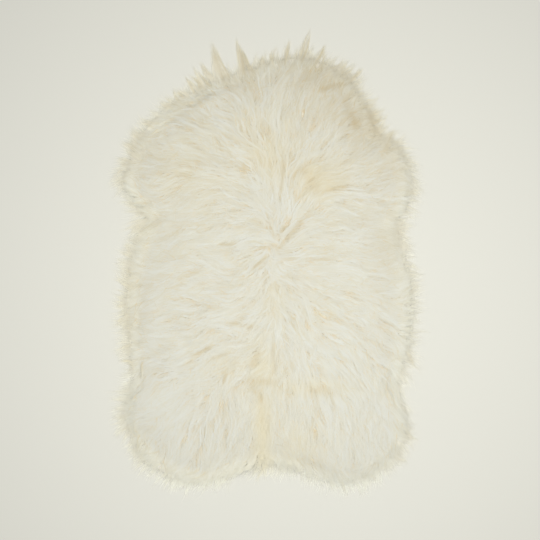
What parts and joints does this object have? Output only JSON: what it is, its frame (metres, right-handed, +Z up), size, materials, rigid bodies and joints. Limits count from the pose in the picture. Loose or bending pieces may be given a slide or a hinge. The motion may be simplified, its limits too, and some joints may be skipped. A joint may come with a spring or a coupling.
{
  "type": "sheepskin rug",
  "caption": "Long-woolled sheepskin rug that lies flat, with its wool combed out from the backbone, tapered locks round the rim and a suede underside.",
  "frame": {"origin": "on the floor, under the middle of the rug's bounding box", "axes": "+Z up out of the wool, +Y along the backbone towards the neck end, +X towards the right as seen from above"},
  "size_m": [0.7389, 1.1191, 0.066],
  "materials": {
    "wool": "undyed natural cream wool, long silky locks, soft sheen, no gloss",
    "suede": "tanned flesh side, matt suede nap"
  },
  "bodies": {
    "root": {"fleece": "wool", "hide": "suede"}
  },
  "joints": []
}
